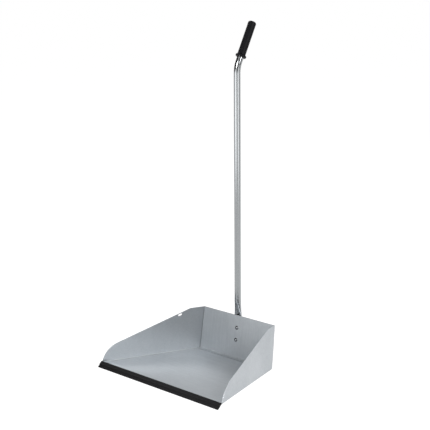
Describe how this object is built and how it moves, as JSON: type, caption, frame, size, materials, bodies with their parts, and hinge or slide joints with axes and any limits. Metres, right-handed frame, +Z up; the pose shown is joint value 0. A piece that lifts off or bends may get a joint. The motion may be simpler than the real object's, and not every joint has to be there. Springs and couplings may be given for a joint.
{
  "type": "dust_pan",
  "caption": "Long-handled galvanised steel dust pan with a black rubber lip, a zinc tube handle bent back at the top and a black plastic grip",
  "frame": {"origin": "centre of the whole object's footprint, on the ground: the lip's flat foot and the floor sheet's rear lower edge both stand at Z = 0", "axes": "+Z up, the pan's mouth and rubber lip face -Y, the grip is bent back towards +Y, +X is to the right as seen facing the back panel from the mouth; the hanging slot is in the -X wall"},
  "size_m": [0.4804, 0.4148, 0.9826],
  "materials": {
    "galvanised_sheet": "dull zinc coating with a faint spangle",
    "rubber": "satin black rubber",
    "zinc_tube": "bright zinc plating, semi-gloss",
    "grip_pvc": "satin black PVC with shallow ribs",
    "plated_fastener": "zinc-plated, semi-gloss"
  },
  "bodies": {
    "root": {"tray_sheet": "galvanised_sheet", "back_panel": "galvanised_sheet", "lip_clamp": "galvanised_sheet", "rubber_lip": "rubber", "handle_tube": "zinc_tube", "hand_grip": "grip_pvc", "foot_screws": "plated_fastener", "foot_washers": "plated_fastener", "foot_nuts": "plated_fastener"}
  },
  "joints": []
}
